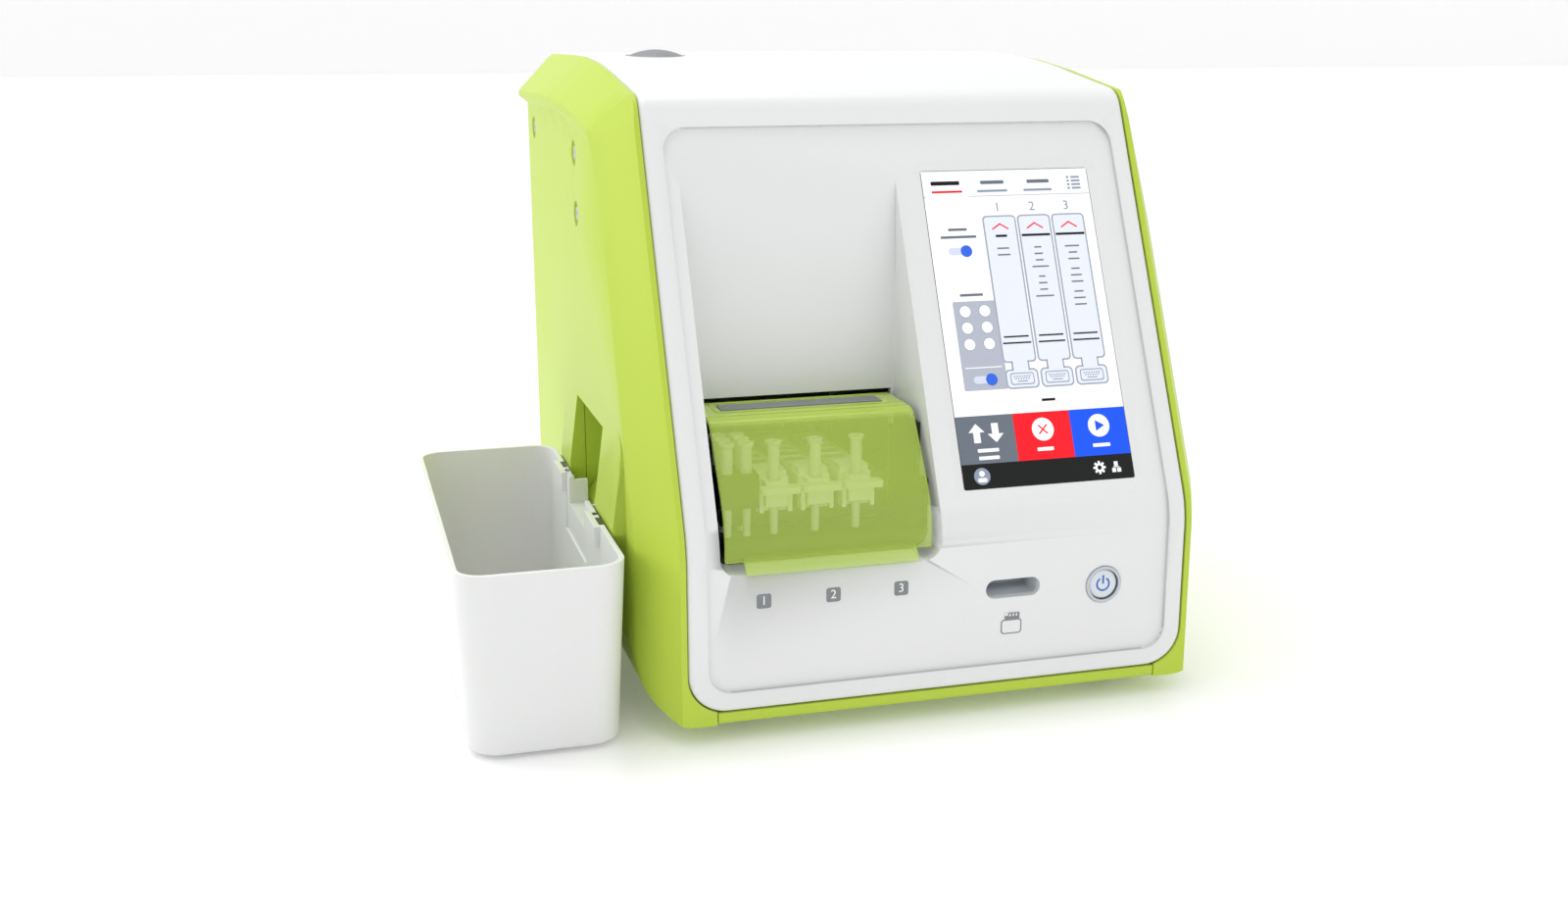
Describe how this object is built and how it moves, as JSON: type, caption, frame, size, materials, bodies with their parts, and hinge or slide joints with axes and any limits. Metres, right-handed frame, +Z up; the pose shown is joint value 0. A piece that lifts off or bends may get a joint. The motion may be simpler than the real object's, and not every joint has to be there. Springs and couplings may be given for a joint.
{
  "type": "rapid test reader",
  "caption": "Bench-top cartridge test reader with tilted touch display, lift-up cover over a motorised holder, lidded printer and hang-on waste bin.",
  "frame": {"origin": "middle of the footprint of reader and hung bin together, on the table surface", "axes": "+X to the right as the user sees the reader, +Y towards its back, +Z up"},
  "size_m": [0.365, 0.342, 0.3016],
  "materials": {
    "lime_plastic": "satin",
    "white_plastic": "satin",
    "clear_lime": "translucent, polished",
    "grey_plastic": "satin",
    "dark_plastic": "satin",
    "rubber_dark": "matt",
    "screen_glass": "polished",
    "panel_dark": "satin",
    "steel": "brushed",
    "plated_steel": "polished",
    "sheet_aluminium": "satin",
    "brass_nut": "turned",
    "board_green": "satin",
    "tip_plastic": "translucent",
    "cartridge_plastic": "glossy",
    "paper": "matt",
    "button_grey": "glossy"
  },
  "bodies": {
    "housing": {"front_panel": "white_plastic", "right_cover": "lime_plastic", "left_cover": "lime_plastic", "rear_panel": "grey_plastic", "base_plate": "grey_plastic", "feet": "rubber_dark", "foot_screws": "steel", "side_screws": "steel", "rear_screws": "steel", "screen_glass": "screen_glass", "display_module": "panel_dark", "display_bracket": "sheet_aluminium", "display_board": "board_green", "display_screws": "steel", "button_ring": "grey_plastic", "button_switch": "dark_plastic", "chip_socket": "dark_plastic", "chamber_liner": "grey_plastic", "rail_bracket_front": "sheet_aluminium", "rail_bracket_rear": "sheet_aluminium", "guide_rails": "plated_steel", "drive_motor": "dark_plastic", "head_gantry": "sheet_aluminium", "head_rods": "plated_steel", "head_actuator": "dark_plastic", "optics_head": "dark_plastic", "printer_body": "dark_plastic", "chute_liner": "lime_plastic", "keeper_plates": "steel", "main_board": "board_green", "power_supply": "sheet_aluminium", "fan_frame": "dark_plastic", "fan_screws": "steel", "power_inlet": "dark_plastic", "switch_housing": "dark_plastic", "port_block": "dark_plastic"},
    "door": {"door_cover": "clear_lime", "door_label": "grey_plastic", "door_pins": "steel"},
    "holder": {"holder_tray": "grey_plastic", "holder_bushes": "dark_plastic", "screw_nut": "brass_nut", "cartridge_1": "cartridge_plastic", "cartridge_2": "cartridge_plastic", "cartridge_3": "cartridge_plastic", "cartridge_tips": "tip_plastic", "spare_tips": "tip_plastic"},
    "screw": {"lead_screw": "steel"},
    "button": {"power_button": "button_grey"},
    "bin": {"waste_bin": "white_plastic", "bin_magnets": "plated_steel"},
    "head": {"pipette_head": "dark_plastic"},
    "lid": {"printer_lid": "white_plastic", "lid_pins": "steel"},
    "latch": {"lid_latch": "grey_plastic"},
    "platen": {"platen_roller": "rubber_dark"},
    "roll": {"paper_roll": "paper"},
    "rotor": {"fan_rotor": "dark_plastic"},
    "rocker": {"rocker_switch": "dark_plastic"}
  },
  "joints": [
    {"name": "door_hinge", "type": "hinge", "parent": "housing", "child": "door", "pos_m": [-0.01515, -0.1015, 0.1382], "axis": [-1, 0, 0], "range_deg": [0, 85]},
    {"name": "holder_slide", "type": "slide", "parent": "housing", "child": "holder", "axis": [0, 1, 0], "range_m": [0, 0.095]},
    {"name": "screw_spin", "type": "hinge", "parent": "housing", "child": "screw", "pos_m": [-0.01515, 0, 0.079], "axis": [0, 1, 0], "range_deg": [-5, 4280]},
    {"name": "power_press", "type": "slide", "parent": "housing", "child": "button", "axis": [0, 1, 0], "range_m": [0, 0.0014], "stiffness_N_per_m": 800},
    {"name": "bin_pull", "type": "slide", "parent": "housing", "child": "bin", "axis": [-1, 0, 0], "range_m": [0, 0.03]},
    {"name": "head_lower", "type": "slide", "parent": "housing", "child": "head", "axis": [0, 0, -1], "range_m": [0, 0.022]},
    {"name": "lid_hinge", "type": "hinge", "parent": "housing", "child": "lid", "pos_m": [-0.0461, 0.1264, 0.2975], "axis": [-1, 0, 0], "range_deg": [0, 80]},
    {"name": "latch_press", "type": "slide", "parent": "lid", "child": "latch", "axis": [0, 0, -1], "range_m": [0, 0.0015], "stiffness_N_per_m": 800},
    {"name": "platen_spin", "type": "hinge", "parent": "lid", "child": "platen", "pos_m": [-0.0461, 0.044, 0.2812], "axis": [1, 0, 0], "continuous": true},
    {"name": "roll_spin", "type": "hinge", "parent": "housing", "child": "roll", "pos_m": [-0.0461, 0.088, 0.27], "axis": [1, 0, 0], "continuous": true},
    {"name": "fan_spin", "type": "hinge", "parent": "housing", "child": "rotor", "pos_m": [0.1005, 0.155, 0.19], "axis": [0, 1, 0], "continuous": true},
    {"name": "rocker_tilt", "type": "hinge", "parent": "housing", "child": "rocker", "pos_m": [-0.0235, 0.1631, 0.068], "axis": [1, 0, 0], "range_deg": [-8, 8]}
  ],
  "couplings": [
    {"joint": "screw_spin", "follows": "holder_slide", "rad_per_m": 785.4}
  ]
}
